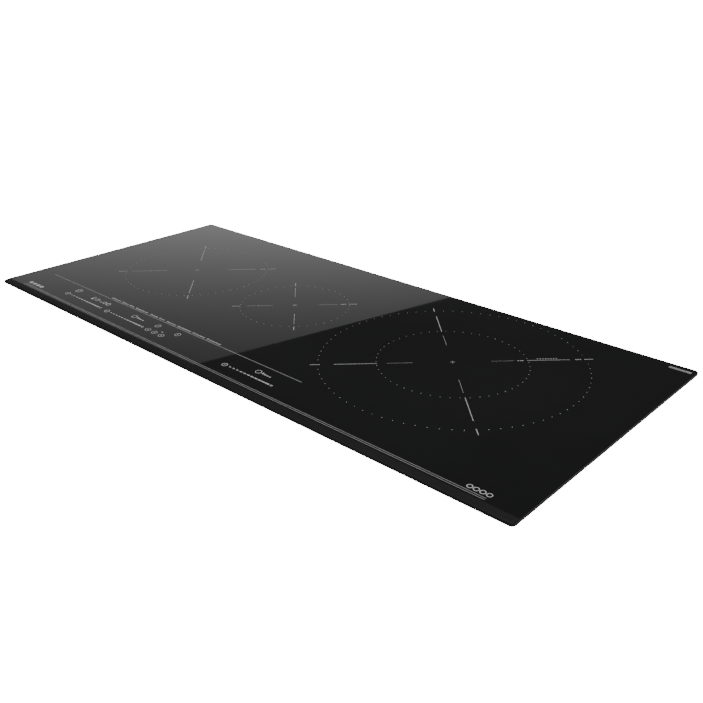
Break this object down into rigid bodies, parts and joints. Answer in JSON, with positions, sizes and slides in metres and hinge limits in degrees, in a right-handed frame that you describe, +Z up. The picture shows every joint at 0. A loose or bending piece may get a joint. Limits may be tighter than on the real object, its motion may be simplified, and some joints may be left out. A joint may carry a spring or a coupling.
{
  "type": "electric induction cooktop",
  "caption": "Wide, shallow built-in induction cooktop: black glass with zones in a row and a faceted front edge, on a stepped tray of coils, blowers and boards.",
  "frame": {"origin": "on the floor plane under the middle of the object, which is under the middle of the glass; z is 0 at the tray's base", "axes": "+X along the width to the user's right, +Y from the user to the rear, +Z up"},
  "size_m": [0.9, 0.4, 0.056],
  "materials": {
    "black_glass": "gloss",
    "foam": "matte",
    "silicone": "satin",
    "galvanised_steel": "satin",
    "aluminium": "satin",
    "ferrite": "matte",
    "nylon": "satin",
    "copper": "satin",
    "mica": "matte",
    "spring_steel": "polished",
    "black_plastic": "satin",
    "circuit_board": "satin",
    "blue_film": "gloss",
    "dark_lens": "gloss",
    "ribbon": "satin",
    "rubber": "matte",
    "zinc_steel": "satin",
    "brass": "satin"
  },
  "bodies": {
    "housing": {"glass_panel": "black_glass", "edge_seal": "foam", "bonding_bead": "silicone", "housing_tray": "galvanised_steel", "coil_plate_left": "aluminium", "coil_plate_right": "aluminium", "leaf_spring_left": "spring_steel", "leaf_spring_middle": "spring_steel", "leaf_spring_right": "spring_steel", "board_carrier_left": "black_plastic", "power_board_left": "circuit_board", "heat_sink_left": "aluminium", "fan_housing_left": "black_plastic", "filter_choke_left": "copper", "filter_capacitor_left": "blue_film", "board_carrier_right": "black_plastic", "power_board_right": "circuit_board", "heat_sink_right": "aluminium", "fan_housing_right": "black_plastic", "filter_choke_right": "copper", "filter_capacitor_right": "blue_film", "control_carrier": "black_plastic", "control_board": "circuit_board", "display_module_left": "dark_lens", "display_module_right": "dark_lens", "ribbon_cable": "ribbon", "terminal_box": "black_plastic", "terminal_block": "nylon", "cable_grommet": "rubber", "clamp_stud_front_left": "zinc_steel", "clamp_stud_rear_left": "zinc_steel", "clamp_stud_front_right": "zinc_steel", "clamp_stud_rear_right": "zinc_steel"},
    "coil_unit_left": {"ferrite_star_left": "ferrite", "coil_former_left": "nylon", "coil_winding_left": "copper", "mica_sheet_left": "mica"},
    "sensor_left": {"sensor_left": "silicone"},
    "coil_unit_middle": {"ferrite_star_middle": "ferrite", "coil_former_middle": "nylon", "coil_winding_middle": "copper", "mica_sheet_middle": "mica"},
    "sensor_middle": {"sensor_middle": "silicone"},
    "coil_unit_right": {"ferrite_star_right": "ferrite", "coil_former_right": "nylon", "coil_winding_right_inner": "copper", "coil_winding_right_outer": "copper", "mica_sheet_right": "mica"},
    "sensor_right": {"sensor_right": "silicone"},
    "rotor_left": {"fan_rotor_left": "black_plastic"},
    "rotor_right": {"fan_rotor_right": "black_plastic"},
    "terminal_lid": {"terminal_cover": "black_plastic"},
    "nut_front_left": {"clamp_nut_front_left": "brass"},
    "arm_front_left": {"clamp_arm_front_left": "zinc_steel"},
    "nut_rear_left": {"clamp_nut_rear_left": "brass"},
    "arm_rear_left": {"clamp_arm_rear_left": "zinc_steel"},
    "nut_front_right": {"clamp_nut_front_right": "brass"},
    "arm_front_right": {"clamp_arm_front_right": "zinc_steel"},
    "nut_rear_right": {"clamp_nut_rear_right": "brass"},
    "arm_rear_right": {"clamp_arm_rear_right": "zinc_steel"}
  },
  "joints": [
    {"name": "coil_left_float", "type": "slide", "parent": "housing", "child": "coil_unit_left", "axis": [0, 0, 1], "range_m": [-0.002, 0], "stiffness_N_per_m": 5000, "springref_m": 0.006, "deforming": ["leaf_spring_left"]},
    {"name": "sensor_left_float", "type": "slide", "parent": "coil_unit_left", "child": "sensor_left", "axis": [0, 0, 1], "range_m": [-0.0015, 0], "stiffness_N_per_m": 150, "springref_m": 0.004},
    {"name": "coil_middle_float", "type": "slide", "parent": "housing", "child": "coil_unit_middle", "axis": [0, 0, 1], "range_m": [-0.002, 0], "stiffness_N_per_m": 3500, "springref_m": 0.006, "deforming": ["leaf_spring_middle"]},
    {"name": "sensor_middle_float", "type": "slide", "parent": "coil_unit_middle", "child": "sensor_middle", "axis": [0, 0, 1], "range_m": [-0.0015, 0], "stiffness_N_per_m": 150, "springref_m": 0.004},
    {"name": "coil_right_float", "type": "slide", "parent": "housing", "child": "coil_unit_right", "axis": [0, 0, 1], "range_m": [-0.002, 0], "stiffness_N_per_m": 12000, "springref_m": 0.006, "deforming": ["leaf_spring_right"]},
    {"name": "sensor_right_float", "type": "slide", "parent": "coil_unit_right", "child": "sensor_right", "axis": [0, 0, 1], "range_m": [-0.0015, 0], "stiffness_N_per_m": 150, "springref_m": 0.004},
    {"name": "fan_left_spin", "type": "hinge", "parent": "housing", "child": "rotor_left", "pos_m": [-0.342, -0.074, 0.015], "axis": [0, 0, 1], "continuous": true},
    {"name": "fan_right_spin", "type": "hinge", "parent": "housing", "child": "rotor_right", "pos_m": [0.342, -0.074, 0.015], "axis": [0, 0, 1], "continuous": true},
    {"name": "terminal_cover_hinge", "type": "hinge", "parent": "housing", "child": "terminal_lid", "pos_m": [0.34, 0.1823, 0.005], "axis": [-1, 0, 0], "range_deg": [0, 90]},
    {"name": "clamp_front_left_lift", "type": "slide", "parent": "housing", "child": "nut_front_left", "axis": [0, 0, 1], "range_m": [0, 0.02]},
    {"name": "clamp_front_left_swing", "type": "hinge", "parent": "nut_front_left", "child": "arm_front_left", "pos_m": [-0.413, -0.1, 0.013], "axis": [0, 0, 1], "range_deg": [0, 90]},
    {"name": "clamp_rear_left_lift", "type": "slide", "parent": "housing", "child": "nut_rear_left", "axis": [0, 0, 1], "range_m": [0, 0.02]},
    {"name": "clamp_rear_left_swing", "type": "hinge", "parent": "nut_rear_left", "child": "arm_rear_left", "pos_m": [-0.413, 0.13, 0.013], "axis": [0, 0, 1], "range_deg": [0, 90]},
    {"name": "clamp_front_right_lift", "type": "slide", "parent": "housing", "child": "nut_front_right", "axis": [0, 0, 1], "range_m": [0, 0.02]},
    {"name": "clamp_front_right_swing", "type": "hinge", "parent": "nut_front_right", "child": "arm_front_right", "pos_m": [0.413, -0.1, 0.013], "axis": [0, 0, -1], "range_deg": [0, 90]},
    {"name": "clamp_rear_right_lift", "type": "slide", "parent": "housing", "child": "nut_rear_right", "axis": [0, 0, 1], "range_m": [0, 0.02]},
    {"name": "clamp_rear_right_swing", "type": "hinge", "parent": "nut_rear_right", "child": "arm_rear_right", "pos_m": [0.413, 0.13, 0.013], "axis": [0, 0, -1], "range_deg": [0, 90]}
  ]
}
